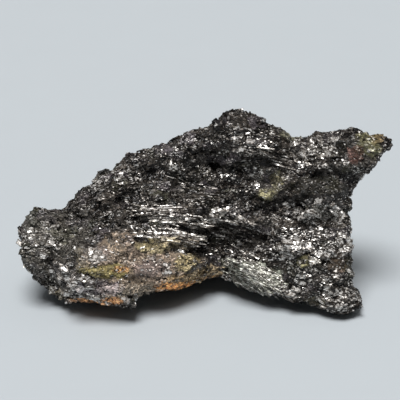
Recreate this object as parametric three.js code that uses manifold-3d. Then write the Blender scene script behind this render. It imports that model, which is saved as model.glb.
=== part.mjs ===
// A rough hand specimen of nuummite, the glittering black rock of interlocked
// amphibole blades, standing on its broken lower edge.
//
// Millimetres, +Z up. +X runs along the rock from its blunt end to its forked
// end, and -Y is the side that its display face looks to. The origin lies on the
// surface that the rock stands on, under the middle of its bounding box.

import * as THREE from "three";
import { ImprovedNoise } from "three/addons/math/ImprovedNoise.js";
import { mergeVertices } from "three/addons/utils/BufferGeometryUtils.js";
import Module from "manifold-3d";

// ---------------------------------------------------------------- dimensions

const FACE_LEAN = THREE.MathUtils.degToRad(27); // the display face leans back
const DISPLAY = new THREE.Vector3(0, -Math.cos(FACE_LEAN), Math.sin(FACE_LEAN));
const BACK = new THREE.Vector3(0, 0.94, 0.34);

// Steps of the rock's surface along its length, up its height, through its depth.
const STEPS = { length: 40, height: 20, depth: 5 };
const STEP_SCATTER = 0.34; // how far a corner strays from its place, in steps

const FRONT_SWELL = 3.2; // how far the display face stands out from its rim
const BACK_SWELL = 1.0; // the same on the back
const SWELL_POWER = 4; // the higher, the flatter a face stays towards its rim
const SIDE_SWELL = 1.0; // how far the edges bulge between the two rims

// The rim of the display face: where it turns over to the top, the two ends and
// the underside. Each list runs left to right, or upwards.
const FRONT_RIM = {
  top: [
    [-42.6, -1, 20.4], [-38.7, 1, 19], [-34.8, 3, 18.8], [-30.9, 4, 20.4],
    [-26.4, 5, 21.6], [-22.2, 7, 28.2], [-18.4, 8, 32], [-13.4, 8, 33.6],
    [-9, 9, 35.8], [-5.3, 9, 37.6], [-1.4, 9, 40], [2.8, 10, 41.4],
    [6.4, 10, 45], [11, 10, 46.4], [14.4, 10, 43.8], [17.4, 9, 39.2],
    [23.5, 8, 36.4], [28.4, 8, 35.6], [32, 8, 37.2], [38, 7, 40.6],
    [42.6, 5, 41], [46.6, 3, 38.4],
  ],
  right: [
    [40.4, -15.8, 3], [36.2, -12, 7.4], [35.4, -8, 13.6], [35.6, -5, 19],
    [35.8, -3, 23.6], [38, -1, 28], [39.6, -0.5, 30.8], [42.8, 0.5, 33.8],
    [46.6, 3, 38.4],
  ],
  bottom: [
    [-39.6, -5.4, 5], [-36, -8.6, 4.2], [-33.4, -11.6, 3.4], [-26, -13.4, 3.8],
    [-21.5, -13.8, 3.8], [-16, -13.2, 3.8], [-14, -10.4, 5], [-6, -9.4, 5],
    [1, -6, 5.4], [5.5, -5, 5.4], [10.4, -8.4, 4.6], [17.4, -11, 3.8],
    [25, -12.6, 3.6], [31.5, -15.6, 2.8], [36, -17, 2.4], [40.4, -15.8, 3],
  ],
  left: [
    [-39.6, -5.4, 5], [-40.8, -6.5, 8], [-42, -6.5, 12], [-43, -5, 16.2],
    [-43.2, -3, 18.8], [-42.6, -1, 20.4],
  ],
};

// The rim of the back, smaller all round, so that the display face hides it.
const BACK_RIM = {
  top: [
    [-37.4, 7, 15], [-30, 11, 19], [-20, 15, 24], [-8, 18, 28], [3, 19, 33],
    [12, 19, 34], [19, 17, 29.6], [28, 15, 29], [36, 12, 33], [42, 9, 33.4],
  ],
  right: [[33, 5, 3.4], [31.4, 9, 8], [30.6, 11, 15], [33, 11, 24], [42, 9, 33.4]],
  bottom: [
    [-34, 5, 3.6], [-24, 11, 2.4], [-8, 15, 0.8], [6, 16.4, -0.4], [18, 14, 1.4],
    [33, 5, 3.4],
  ],
  left: [[-34, 5, 3.6], [-38.4, 6, 9], [-37.4, 7, 15]],
};

// Broad swellings and hollows: where each is centred, how far it reaches along
// X, Y and Z, how far it moves the surface out, and which way that surface looks.
const FORMS = [
  { name: "brown lobe", at: [-17.5, -13, 11.5], reach: [18, 15, 8], out: 5.4, side: DISPLAY },
  { name: "lobe cap", at: [-26, -11, 14], reach: [6, 9, 4.4], out: 1.6, side: DISPLAY },
  { name: "blunt end", at: [-40, -5, 14.5], reach: [6.4, 11, 8], out: 3.0, side: DISPLAY },
  { name: "dark face", at: [-6, 3, 30], reach: [25, 16, 8.6], out: -3.0, side: DISPLAY },
  { name: "valley", at: [8, -5, 15], reach: [8, 11, 5.6], out: -5.2, side: DISPLAY },
  { name: "silvery band", at: [-8, -5, 22.6], reach: [10, 9, 3], out: 2.0, side: DISPLAY },
  { name: "forked end", at: [27, -8, 17], reach: [9.6, 11, 7], out: 2.6, side: DISPLAY },
  { name: "foot", at: [31, -13, 8], reach: [9, 8, 4], out: 1.4, side: DISPLAY },
  { name: "horn", at: [38, 2, 36], reach: [7, 8, 3.6], out: 1.8, side: DISPLAY },
  { name: "crest knob", at: [9, 8, 41], reach: [6, 6, 4], out: 1.6, side: DISPLAY },
  { name: "peak knot", at: [15, 5, 36], reach: [5, 8, 3], out: 1.6, side: DISPLAY },
  { name: "shoulder", at: [-26, 4, 26], reach: [7, 8, 4], out: 1.6, side: DISPLAY },
  { name: "face pit", at: [17, 2, 29], reach: [4, 7, 2.4], out: -1.8, side: DISPLAY },
  { name: "lobe pit", at: [-35, -9, 9], reach: [2.6, 7, 6], out: -2.4, side: DISPLAY },
  { name: "back scoop", at: [-14, 17, 16], reach: [12, 12, 8], out: -4.0, side: BACK },
  { name: "back ridge", at: [12, 19, 22], reach: [8, 10, 12], out: 1.6, side: BACK },
  { name: "back shelf", at: [-22, 12, 6], reach: [14, 10, 5], out: 1.6, side: BACK },
  { name: "back hollow", at: [27, 12, 14], reach: [7, 8, 7], out: -3.0, side: BACK },
];

// Ledges: the surface stands out over a line and is cut in under it. Each line
// runs between two places given as [x, z], seen square on from its own side.
const LEDGES = [
  { name: "overhang", side: DISPLAY, from: [14, 25], to: [34, 24], out: 3.2, over: 5, under: 3 },
  { name: "horn crease", side: DISPLAY, from: [22, 32], to: [39, 31.4], out: 1.3, over: 3, under: 2.4 },
  { name: "lobe brow", side: DISPLAY, from: [-30, 19], to: [4, 13], out: 1.2, over: 2.4, under: 2.6 },
  { name: "face seam", side: DISPLAY, from: [-34, 23], to: [4, 21], out: 1.6, over: 3, under: 2 },
  { name: "upper seam", side: DISPLAY, from: [-12, 34], to: [18, 31], out: 1.0, over: 3, under: 2.6 },
  { name: "end seam", side: DISPLAY, from: [-32, 21], to: [-37, 8], out: -1.5, over: 3, under: 2.4 },
  { name: "back step", side: BACK, from: [-30, 14], to: [10, 24], out: 2.2, over: 5, under: 3 },
  { name: "back seam", side: BACK, from: [2, 10], to: [32, 16], out: 1.8, over: 4, under: 3 },
];
const LEDGE_EDGE = 0.9; // half the height over which a ledge turns in
const LEDGE_FADE = 0.15; // how much of its length it fades over at either end

// The three places that the rock stands on, as [x, y], how wide each one is, and
// how far it reaches down past the surface before it is trimmed flat.
const FEET = [
  { at: [-26, -4], reach: [6, 4], down: 5.6 },
  { at: [34, -10], reach: [4.6, 4], down: 4.6 },
  { at: [5, 13], reach: [7, 4], down: 2.6 },
];

// The rock's grain: its blades lie in sheets that dip gently to the right, and
// each side breaks along them into flats about this long, deep and high.
const SHEET_DIP = THREE.MathUtils.degToRad(9);
const FLATS = [
  { side: DISPLAY, size: [9, 6, 3.8], tilt: 0.7 },
  { side: BACK, size: [17, 14, 11], tilt: 0.6 },
  { side: BACK, size: [6, 5, 4], tilt: 0.5 },
];

// Smooth unevenness: how long, deep and high one wave of it is, and its height.
const UNEVENNESS = [
  { name: "lumps", size: [9, 8, 7], out: 1.5 },
  { name: "small lumps", size: [4, 4, 3.4], out: 0.7 },
  { name: "sheets", size: [12, 6, 2.6], out: 0.9 },
];
const SCRAMBLE = [127.1, 311.7, 74.7]; // numbers with no common measure
const ROCK_SEED = 1752;

// Blades that stand proud of the rock. Each bundle is centred where the rock
// lies behind `at`, seen from its side. `spread` is how far it reaches along the
// blades and across them, `dip` how steeply they run down to the right in
// degrees, and `blade` how long, wide and thick one is.
const BUNDLES = [
  { name: "silvery spray", side: DISPLAY, at: [-8, -6, 22], spread: [7, 3.2], count: 9, dip: 6,
    blade: [9, 1.7, 1.2] },
  { name: "blocky knot", side: DISPLAY, at: [4, -3, 24], spread: [2, 2], count: 3, dip: 70,
    blade: [3.6, 2.2, 1.7] },
  { name: "pale fan", side: DISPLAY, at: [13, -9, 9.6], spread: [3.6, 3], count: 8, dip: 34,
    blade: [8, 1.7, 1.3] },
  { name: "blunt end", side: DISPLAY, at: [-37.4, -5, 15], spread: [2.2, 5], count: 6, dip: 30,
    blade: [3.8, 2.8, 2] },
  { name: "lobe", side: DISPLAY, at: [-25, -12, 9], spread: [7, 4.4], count: 6, dip: 12,
    blade: [4.4, 3, 2.2] },
  { name: "lobe rim", side: DISPLAY, at: [-23, -13, 4.6], spread: [8, 0.8], count: 4, dip: 2,
    blade: [3.6, 2.4, 2] },
  { name: "fork", side: DISPLAY, at: [24, -6, 17], spread: [7, 6], count: 8, dip: 8,
    blade: [4, 3, 2.2] },
  { name: "ledge", side: DISPLAY, at: [30, -2, 24], spread: [5.5, 2.2], count: 5, dip: 0,
    blade: [4.2, 2.8, 2.2] },
  { name: "foot", side: DISPLAY, at: [32, -14, 6], spread: [5, 2.4], count: 4, dip: 24,
    blade: [3.4, 2.4, 1.8] },
  { name: "upper face", side: DISPLAY, at: [-4, 4, 30], spread: [17, 4.6], count: 7, dip: 10,
    blade: [5, 2.4, 1.6] },
  { name: "peak", side: DISPLAY, at: [9, 8, 38], spread: [5, 2.4], count: 4, dip: 16,
    blade: [4, 2.8, 2] },
  { name: "under the saddle", side: DISPLAY, at: [26, 5, 34], spread: [7, 2.6], count: 5, dip: -8,
    blade: [4, 3, 2] },
  { name: "horn", side: DISPLAY, at: [40, 3, 37], spread: [3, 1.4], count: 3, dip: -20,
    blade: [3.6, 2.6, 2] },
  { name: "back, high", side: BACK, at: [2, 18, 26], spread: [20, 5], count: 6, dip: 12,
    blade: [6, 3.4, 2.2] },
  { name: "back, low", side: BACK, at: [0, 18, 10], spread: [22, 5], count: 6, dip: -6,
    blade: [6, 3.4, 2.4] },
];
const BLADE_SIDES = 4; // a blade is a flattened lozenge prism
const BLADE_ENDS = { far: 0.58, near: 0.5 }; // half the width of each end, in widths
const BLADE_SLANT = { wide: 0.2, thick: 0.15 }; // how far its ends are cut aslant
const BLADE_TILT = THREE.MathUtils.degToRad(14); // the most that one end lifts
const BLADE_STRAY = THREE.MathUtils.degToRad(12); // the most that it leaves its dip
const BLADE_ROLL = THREE.MathUtils.degToRad(24); // the most that it rolls over
const BLADE_VARIES = 0.3; // the most that a size differs, as a share of it
const BLADE_SUNK = 0.2; // how deep its middle lies, in thicknesses

const JOIN_TOLERANCE = 0.02; // joined solids keep no edge shorter than this
const FAR = 60; // further out than any part of the rock

// ------------------------------------------------------------------- helpers

const wasm = await Module();
wasm.setup();
const perlin = new ImprovedNoise();
const { seededRandom, smoothstep, clamp } = THREE.MathUtils;

const vector = (values) => new THREE.Vector3(...values);
const curveThrough = (points) =>
  new THREE.CatmullRomCurve3(points.map(vector), false, "centripetal");
const between = (low, high) => low + (high - low) * seededRandom();
const fract = (value) => value - Math.floor(value);

function withPositionsOnly(geometry) {
  const bare = geometry.clone();
  bare.deleteAttribute("normal");
  bare.deleteAttribute("uv");
  return bare;
}

function solidOf(geometry) {
  const merged = mergeVertices(withPositionsOnly(geometry));
  return new wasm.Manifold(
    new wasm.Mesh({
      numProp: 3,
      vertProperties: merged.attributes.position.array,
      triVerts: new Uint32Array(merged.index.array),
      tolerance: JOIN_TOLERANCE,
    }),
  );
}

function geometryOf(solid) {
  const { numProp, vertProperties, triVerts } = solid.getMesh();
  const geometry = new THREE.BufferGeometry();
  geometry.setAttribute("position", new THREE.BufferAttribute(vertProperties, numProp));
  geometry.setIndex(new THREE.BufferAttribute(largestSkin(triVerts), 1));
  return geometry;
}

// Keeps the triangles of the outer skin alone, so that a small pocket that the
// blades have closed over counts as solid rock.
function largestSkin(triangles) {
  const leaders = new Map();
  const leaderOf = (corner) => {
    let leader = corner;
    while (leaders.has(leader)) leader = leaders.get(leader);
    return leader;
  };
  const sizes = new Map();
  for (let i = 0; i < triangles.length; i++) {
    const leader = leaderOf(triangles[i]);
    const first = leaderOf(triangles[i - (i % 3)]);
    if (leader !== first) leaders.set(leader, first);
  }
  for (const corner of triangles) {
    const leader = leaderOf(corner);
    sizes.set(leader, (sizes.get(leader) ?? 0) + 1);
  }
  const most = Math.max(...sizes.values());
  return triangles.filter((corner) => sizes.get(leaderOf(corner)) === most);
}

// Moves every corner to where move(point, facing) puts it.
function reshape(geometry, move) {
  geometry.computeVertexNormals();
  const { position, normal } = geometry.attributes;
  const point = new THREE.Vector3();
  const facing = new THREE.Vector3();
  for (let i = 0; i < position.count; i++) {
    point.fromBufferAttribute(position, i);
    facing.fromBufferAttribute(normal, i);
    const moved = move(point.clone(), facing);
    position.setXYZ(i, moved.x, moved.y, moved.z);
  }
  return geometry;
}

// ------------------------------------------------------------ the rock's body

// A surface spanned between four edge curves, at 0 to 1 along and up.
function spanned(rim) {
  const top = curveThrough(rim.top);
  const bottom = curveThrough(rim.bottom);
  const left = curveThrough(rim.left);
  const right = curveThrough(rim.right);
  const corners = [bottom.getPoint(0), bottom.getPoint(1), top.getPoint(0), top.getPoint(1)];
  return (along, up) => {
    const place = new THREE.Vector3();
    place.addScaledVector(bottom.getPointAt(along), 1 - up);
    place.addScaledVector(top.getPointAt(along), up);
    place.addScaledVector(left.getPointAt(up), 1 - along);
    place.addScaledVector(right.getPointAt(up), along);
    place.addScaledVector(corners[0], -(1 - along) * (1 - up));
    place.addScaledVector(corners[1], -along * (1 - up));
    place.addScaledVector(corners[2], -(1 - along) * up);
    place.addScaledVector(corners[3], -along * up);
    return place;
  };
}

// A corner's place from -1 to 1 on the block, strayed from its step, but never
// off the face or edge of the block that it lies on.
function strayed(place, steps) {
  const stray = (STEP_SCATTER * 2) / steps;
  const onEdge = Math.abs(place) > 1 - stray;
  return onEdge ? place : place + between(-stray, stray);
}

// A block pushed into the rock's outline: its front and back faces swell out of
// the two rims, and its edges bulge between them.
function blockedOut() {
  const block = mergeVertices(
    withPositionsOnly(
      new THREE.BoxGeometry(2, 2, 2, STEPS.length, STEPS.height, STEPS.depth),
    ),
  );
  const front = spanned(FRONT_RIM);
  const back = spanned(BACK_RIM);
  const centre = front(0.5, 0.5).lerp(back(0.5, 0.5), 0.5);
  return reshape(block, (at) => {
    const across = strayed(at.x, STEPS.length);
    const high = strayed(at.y, STEPS.height);
    const deep = strayed(at.z, STEPS.depth);
    const through = (1 - deep) / 2; // 0 on the display face and 1 on the back
    const place = front((across + 1) / 2, (high + 1) / 2).lerp(
      back((across + 1) / 2, (high + 1) / 2),
      through,
    );
    const inside = (1 - across ** SWELL_POWER) * (1 - high ** SWELL_POWER);
    const swell = Math.sqrt(Math.max(inside, 0));
    place.addScaledVector(DISPLAY, FRONT_SWELL * swell * (1 - through));
    place.addScaledVector(BACK, BACK_SWELL * swell * through);
    const bulge = SIDE_SWELL * Math.sin(Math.PI * through) * (1 - swell);
    const outward = place.clone().sub(centre).setY(0).normalize();
    return place.addScaledVector(outward, bulge);
  });
}

function formsAt(point, facing) {
  let out = 0;
  for (const form of FORMS) {
    const away = point.clone().sub(vector(form.at)).divide(vector(form.reach));
    const share = Math.exp(-(away.lengthSq() ** 2)); // full inside, steep at its edge
    out += form.out * share * Math.max(0, facing.dot(form.side));
  }
  return out;
}

function ledgesAt(point, facing) {
  let out = 0;
  for (const ledge of LEDGES) {
    const [x, z] = ledge.from;
    const run = new THREE.Vector2(ledge.to[0] - x, ledge.to[1] - z);
    const here = new THREE.Vector2(point.x - x, point.z - z);
    const share = here.dot(run) / run.lengthSq();
    const start = smoothstep(share, -LEDGE_FADE, LEDGE_FADE);
    const end = 1 - smoothstep(share, 1 - LEDGE_FADE, 1 + LEDGE_FADE);
    const height = run.cross(here) / run.length();
    const fading = Math.exp(-Math.abs(height) / (height > 0 ? ledge.over : ledge.under));
    const step = clamp(height / LEDGE_EDGE, -1, 1) * fading;
    out += ledge.out * step * start * end * Math.max(0, facing.dot(ledge.side));
  }
  return out;
}

function withRelief(rock) {
  return reshape(rock, (point, facing) =>
    point.addScaledVector(facing, formsAt(point, facing) + ledgesAt(point, facing)),
  );
}

function withFeet(rock) {
  return reshape(rock, (point, facing) => {
    for (const foot of FEET) {
      const x = (point.x - foot.at[0]) / foot.reach[0];
      const y = (point.y - foot.at[1]) / foot.reach[1];
      point.z -= foot.down * Math.exp(-x * x - y * y) * Math.max(0, -facing.z);
    }
    return point;
  });
}

// The same three numbers from 0 to 1 each time for the same cell of space.
function chancesOf(cell, salt) {
  const seed = Math.sin(cell.dot(vector(SCRAMBLE)) + salt);
  return vector(SCRAMBLE.map((scale) => fract(seed * scale * SCRAMBLE[0])));
}

// The flat that a place belongs to is the one whose middle is nearest, and it
// slopes its own way: this is how far it stands out at that place.
function brokenFlatAt(place, size, salt) {
  const scaled = place.clone().divide(size);
  const home = scaled.clone().floor();
  let nearest = Infinity;
  let out = 0;
  for (let i = -1; i <= 1; i++) {
    for (let j = -1; j <= 1; j++) {
      for (let k = -1; k <= 1; k++) {
        const cell = home.clone().add(new THREE.Vector3(i, j, k));
        const offset = scaled.clone().sub(cell).sub(chancesOf(cell, salt));
        if (offset.lengthSq() < nearest) {
          nearest = offset.lengthSq();
          const slope = chancesOf(cell, salt + 1).subScalar(0.5);
          out = offset.multiply(size).dot(slope);
        }
      }
    }
  }
  return out;
}

// Waves and broken flats, laid over the whole rock along its grain.
function grainAt(point, facing) {
  const place = point.clone().applyAxisAngle(new THREE.Vector3(0, 1, 0), -SHEET_DIP);
  let out = 0;
  FLATS.forEach(({ side, size, tilt }, number) => {
    out += brokenFlatAt(place, vector(size), number) * tilt * Math.max(0, facing.dot(side));
  });
  for (const wave of UNEVENNESS) {
    const { x, y, z } = place.clone().divide(vector(wave.size));
    out += wave.out * perlin.noise(x, y, z);
  }
  return out;
}

function withGrain(rock) {
  return reshape(rock, (point, facing) =>
    point.addScaledVector(facing, grainAt(point, facing)),
  );
}

// ------------------------------------------------------------- fused crystals

// One blade along +X, narrower at one end and broken off aslant.
function bladeGeometry([length, width, thickness]) {
  const blade = new THREE.CylinderGeometry(BLADE_ENDS.far, BLADE_ENDS.near, 1, BLADE_SIDES);
  const { wide, thick } = BLADE_SLANT;
  blade.applyMatrix4(new THREE.Matrix4().makeShear(wide, 0, 0, thick, 0, 0));
  blade.scale(width, length, thickness);
  return blade.rotateZ(-Math.PI / 2);
}

// Where a line straight at the rock's side through a place meets the rock.
function surfaceBehind(place, side, rock) {
  const start = place.clone().addScaledVector(side, FAR);
  const ray = new THREE.Raycaster(start, side.clone().negate());
  const [hit] = ray.intersectObject(rock);
  return hit?.point;
}

function bladesOf(bundle, number, rock) {
  seededRandom(number + 1);
  const out = bundle.side;
  const level = new THREE.Vector3(0, 0, 1).cross(out).negate().normalize();
  const along = level.clone().applyAxisAngle(out, -THREE.MathUtils.degToRad(bundle.dip));
  const blades = [];
  for (let i = 0; i < bundle.count; i++) {
    const run = along.clone().applyAxisAngle(out, between(-BLADE_STRAY, BLADE_STRAY));
    const across = out.clone().cross(run);
    run.applyAxisAngle(across, between(-BLADE_TILT, BLADE_TILT));
    const place = vector(bundle.at);
    place.addScaledVector(along, between(-1, 1) * bundle.spread[0]);
    place.addScaledVector(across, between(-1, 1) * bundle.spread[1]);
    const point = surfaceBehind(place, out, rock);
    const size = bundle.blade.map((length) => length * between(1 - BLADE_VARIES, 1 + BLADE_VARIES));
    const roll = between(-BLADE_ROLL, BLADE_ROLL);
    if (point) {
      const turn = new THREE.Matrix4().makeBasis(run, across, run.clone().cross(across));
      const blade = bladeGeometry(size).rotateX(roll).applyMatrix4(turn);
      point.addScaledVector(out, -BLADE_SUNK * size[2]);
      blades.push(blade.translate(point.x, point.y, point.z));
    }
  }
  return blades;
}

function withBlades(rock) {
  const target = new THREE.Mesh(rock, new THREE.MeshBasicMaterial({ side: THREE.DoubleSide }));
  const blades = BUNDLES.flatMap((bundle, number) => bladesOf(bundle, number, target));
  return blades.reduce((solid, blade) => solid.add(solidOf(blade)), solidOf(rock));
}

function trimmedFlat(solid) {
  const above = new THREE.BoxGeometry(4 * FAR, 4 * FAR, 2 * FAR).translate(0, 0, FAR);
  return solid.intersect(solidOf(above));
}

// ------------------------------------------------------------------ the whole

// Moves the rock sideways until the origin is under the middle of its box.
function centred(geometry) {
  geometry.computeBoundingBox();
  const middle = geometry.boundingBox.getCenter(new THREE.Vector3());
  return geometry.translate(-middle.x, -middle.y, 0);
}

seededRandom(ROCK_SEED);
const rock = withFeet(withGrain(withRelief(blockedOut())));
const specimenSolid = trimmedFlat(withBlades(rock));

const amphibole = new THREE.MeshStandardMaterial({
  name: "amphibole rock",
  color: 0x4a4743,
  roughness: 0.42,
  metalness: 0.35,
});

const specimen = new THREE.Mesh(centred(geometryOf(specimenSolid)), amphibole);
specimen.name = "specimen";

const group = new THREE.Group();
group.add(specimen);

export default group;
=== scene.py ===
"""A rough hand specimen of nuummite: a black rock of interlocked, glittering amphibole blades.

The rock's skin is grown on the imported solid, and thousands of flat-faced blades are set into it
along the grain. Lengths are in metres unless a comment says millimetres.
"""

import itertools
import math
from functools import partial

import bmesh
import bpy
import numpy as np
from bpy.props import FloatProperty, FloatVectorProperty, PointerProperty
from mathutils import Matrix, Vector
from mathutils.bvhtree import BVHTree


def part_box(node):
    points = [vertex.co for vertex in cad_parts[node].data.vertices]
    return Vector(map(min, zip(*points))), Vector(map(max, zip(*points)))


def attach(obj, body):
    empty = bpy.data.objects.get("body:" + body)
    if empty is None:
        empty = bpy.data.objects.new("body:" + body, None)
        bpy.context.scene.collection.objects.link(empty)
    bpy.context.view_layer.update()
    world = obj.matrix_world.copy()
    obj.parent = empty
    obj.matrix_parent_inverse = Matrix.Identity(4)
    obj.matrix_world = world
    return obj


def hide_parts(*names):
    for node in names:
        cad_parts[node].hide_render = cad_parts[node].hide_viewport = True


bl_info = {
    "name": "Nuummite Specimen",
    "version": (1, 0, 0),
    "blender": (4, 5, 0),
    "location": "View3D > Sidebar > Specimen",
    "description": "Builds a rough nuummite hand specimen, its blades, its stains and its stage",
    "category": "Object",
}

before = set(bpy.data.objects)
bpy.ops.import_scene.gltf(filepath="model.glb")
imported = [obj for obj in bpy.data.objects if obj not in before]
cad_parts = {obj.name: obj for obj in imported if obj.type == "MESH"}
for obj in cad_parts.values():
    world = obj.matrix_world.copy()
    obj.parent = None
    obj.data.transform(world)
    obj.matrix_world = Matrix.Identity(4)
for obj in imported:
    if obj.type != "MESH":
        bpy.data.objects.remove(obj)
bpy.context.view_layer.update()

MM = 0.001
NODE = "specimen"
BODY = "root"
SKIN = "rock_skin"
CLEAVAGE = "amphibole cleavage"
CAD_LOW, CAD_HIGH = (np.array(corner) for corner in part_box(NODE))

# The display face leans back by LEAN, and the camera looks down by as much. On most of the rock
# the blades run down to the right by DIP. DISPLAY and BACK are the ways that the faces look.
LEAN = math.radians(27)
DIP = math.radians(9)
UP = np.array([0.0, 0.0, 1.0])
DISPLAY = np.array([0.0, -math.cos(LEAN), math.sin(LEAN)])
BACK = np.array([0.0, 0.94, 0.34])
BACK_FROM = 0.75  # the share of the rock's depth past which a place is on its back
GRAIN = np.array([math.cos(DIP), 0.0, -math.sin(DIP)])
FACE_DEPTH = 14 * MM  # how far through the rock a place on its face reaches
LINE_START = 0.03  # how far out from a face the lines that find its skin start
STANDING = 0.1 * MM  # skin that is lower than this rests on the ground

# Seeds of the fixed numbers over space, some of which also use the few whole numbers after
# them, then those of the random draws.
EDGE_SEED, SHEET_SEED, SLAB_SEED, FLAT_SEED, CHIP_SEED = 11, 21, 31, 41, 51
BUNDLE_SEED, LEAN_SEED, SWIRL_SEED = 61, 64, 67
HUE_SEED, TINT_SEED, BRIGHT_SEED, DARK_SEED = 71, 72, 73, 74
FELT_SEED, SPRAY_SEED, CRYSTAL_SEED = 101, 201, 301


# ---- colours


def linear(hex_colour):
    """An sRGB hex colour as linear red, green, blue and an alpha of 1."""
    parts = [(hex_colour >> shift & 255) / 255 for shift in (16, 8, 0)]
    bent = [p / 12.92 if p <= 0.04045 else ((p + 0.055) / 1.055) ** 2.4 for p in parts]
    return (*bent, 1.0)


# Places on the rock are shares of its box, from its lowest corner to its highest. How far one
# reaches is in millimetres, along the face that it is on and up that face.
#
# Stains: what weathering has left on the blades, its colour and how fully it hides them. A few are
# painted shade or light, as marked below.
STAINS = (
    ("brown lobe", 0xA89480, (0.34, 0.11, 0.31), (18.0, 8.0), 0.85),
    ("brown skirt", 0xD0BEA8, (0.32, 0.04, 0.195), (9.0, 1.8), 0.75),
    ("brown heel", 0xDCBC90, (0.445, 0.19, 0.185), (4.4, 1.8), 0.75),
    ("brown toe", 0xD2B992, (0.495, 0.28, 0.17), (5.2, 2.6), 0.85),
    ("brown cheek", 0x9A8C72, (0.19, 0.05, 0.38), (3.6, 3.4), 0.75),
    ("olive smear", 0xA2945C, (0.245, 0.02, 0.33), (6.8, 2.0), 0.85),
    ("olive brow", 0xC8B88C, (0.37, 0.20, 0.385), (6.6, 1.9), 0.80),
    ("brown brow", 0xA89A84, (0.43, 0.25, 0.37), (3.6, 1.6), 0.65),
    ("olive cheek", 0xBEAE80, (0.455, 0.20, 0.28), (3.2, 2.6), 0.70),
    ("purple cap", 0x8C807E, (0.21, 0.085, 0.39), (3.8, 2.4), 0.60),
    ("purple end", 0xAEA4A8, (0.125, 0.15, 0.235), (3.6, 4.0), 0.45),
    ("purple middle", 0x9A8886, (0.355, 0.11, 0.30), (4.6, 2.6), 0.50),
    ("purple rim", 0xC4B6BC, (0.22, 0.04, 0.225), (6.0, 2.0), 0.60),
    # The two rust stains below are real rust but paler than rust: the extra paleness is painted
    # light on the down-facing rim, which lies in shade.
    ("rust toe", 0xFFBC78, (0.435, 0.20, 0.135), (6.8, 1.3), 1.00),
    ("rust rim", 0xFFC088, (0.23, 0.05, 0.132), (7.8, 1.1), 1.00),
    ("rust bead", 0xB47C48, (0.285, 0.06, 0.32), (2.4, 0.8), 0.70),
    ("rust tail", 0xA87A44, (0.515, 0.30, 0.13), (3.4, 1.0), 0.70),
    ("tan rim", 0xB4A68C, (0.115, 0.175, 0.10), (3.0, 1.8), 0.60),
    ("cream patch", 0xCEC694, (0.665, 0.405, 0.595), (2.4, 1.8), 0.60),
    ("olive patch", 0x8C8656, (0.69, 0.45, 0.645), (1.8, 2.2), 0.55),
    # Partly the lip's own olive colour, partly painted shade: a near-black olive in the recess
    # under the ledge.
    ("shaded olive ledge", 0x1E1B10, (0.79, 0.37, 0.65), (8.0, 2.6), 0.95),
    # Painted shadow: a near-black band under the fork's ledge, where its overhang casts shade.
    ("ledge shadow", 0x0C0A08, (0.78, 0.35, 0.59), (8.0, 1.5), 0.95),
    ("olive notch", 0xA3A286, (0.73, 0.60, 0.85), (3.0, 1.2), 0.60),
    ("green horn", 0xA29E70, (0.93, 0.46, 0.86), (3.6, 3.4), 0.65),
    ("red horn", 0x644238, (0.895, 0.42, 0.815), (2.4, 2.4), 0.80),
    ("orange tip", 0x7A6844, (0.955, 0.50, 0.885), (2.4, 2.0), 0.80),
    ("olive fork", 0x8A8254, (0.76, 0.16, 0.31), (2.6, 1.6), 0.65),
    ("brown flank", 0x5E4C38, (0.852, 0.19, 0.275), (2.8, 3.0), 0.75),
    ("olive foot", 0x4E4A2C, (0.79, 0.11, 0.085), (3.4, 1.4), 0.60),
    ("pale fan", 0xE0E3D0, (0.63, 0.18, 0.205), (6.6, 3.8), 0.68),
    ("green knob", 0x4C5048, (0.04, 0.34, 0.48), (1.8, 1.8), 0.60),
    ("dusty end", 0x8E8A7E, (0.10, 0.22, 0.36), (11.0, 11.0), 0.42),
    ("brown back", 0x6E6454, (0.35, 0.95, 0.35), (16.0, 7.0), 0.55),
    ("olive back", 0x7C7658, (0.62, 0.95, 0.62), (9.0, 4.0), 0.50),
    ("rust back", 0x8A6338, (0.30, 0.80, 0.08), (16.0, 2.6), 0.60),
)
STAIN_RAGGED = 0.28  # how far a stain's edge wanders, as a share of its reach
STAIN_WAVES = ((3.0 * MM, 1.0), (1.2 * MM, 0.7))  # how large and how strong its wanderings are
STAIN_EDGE = 0.2  # how much of its reach a stain fades over
STAIN_TAKEN = (0.5, 1.4)  # how much of the stain at its place a blade takes
STAIN_SHADES = (0.45, 1.4)  # how dark or pale a blade's stain is
CLEAN_BLADES = 0.2  # the share of blades that take only CLEAN_STAIN of it
CLEAN_STAIN = 0.1
TINTS = (0x6E655C, 0x77706A, 0x6B6660, 0x746C70, 0x6C6A58)  # faint hues of single bundles
TINT_MOST = 0.5  # how fully a bundle's hue hides its blades at most
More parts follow.
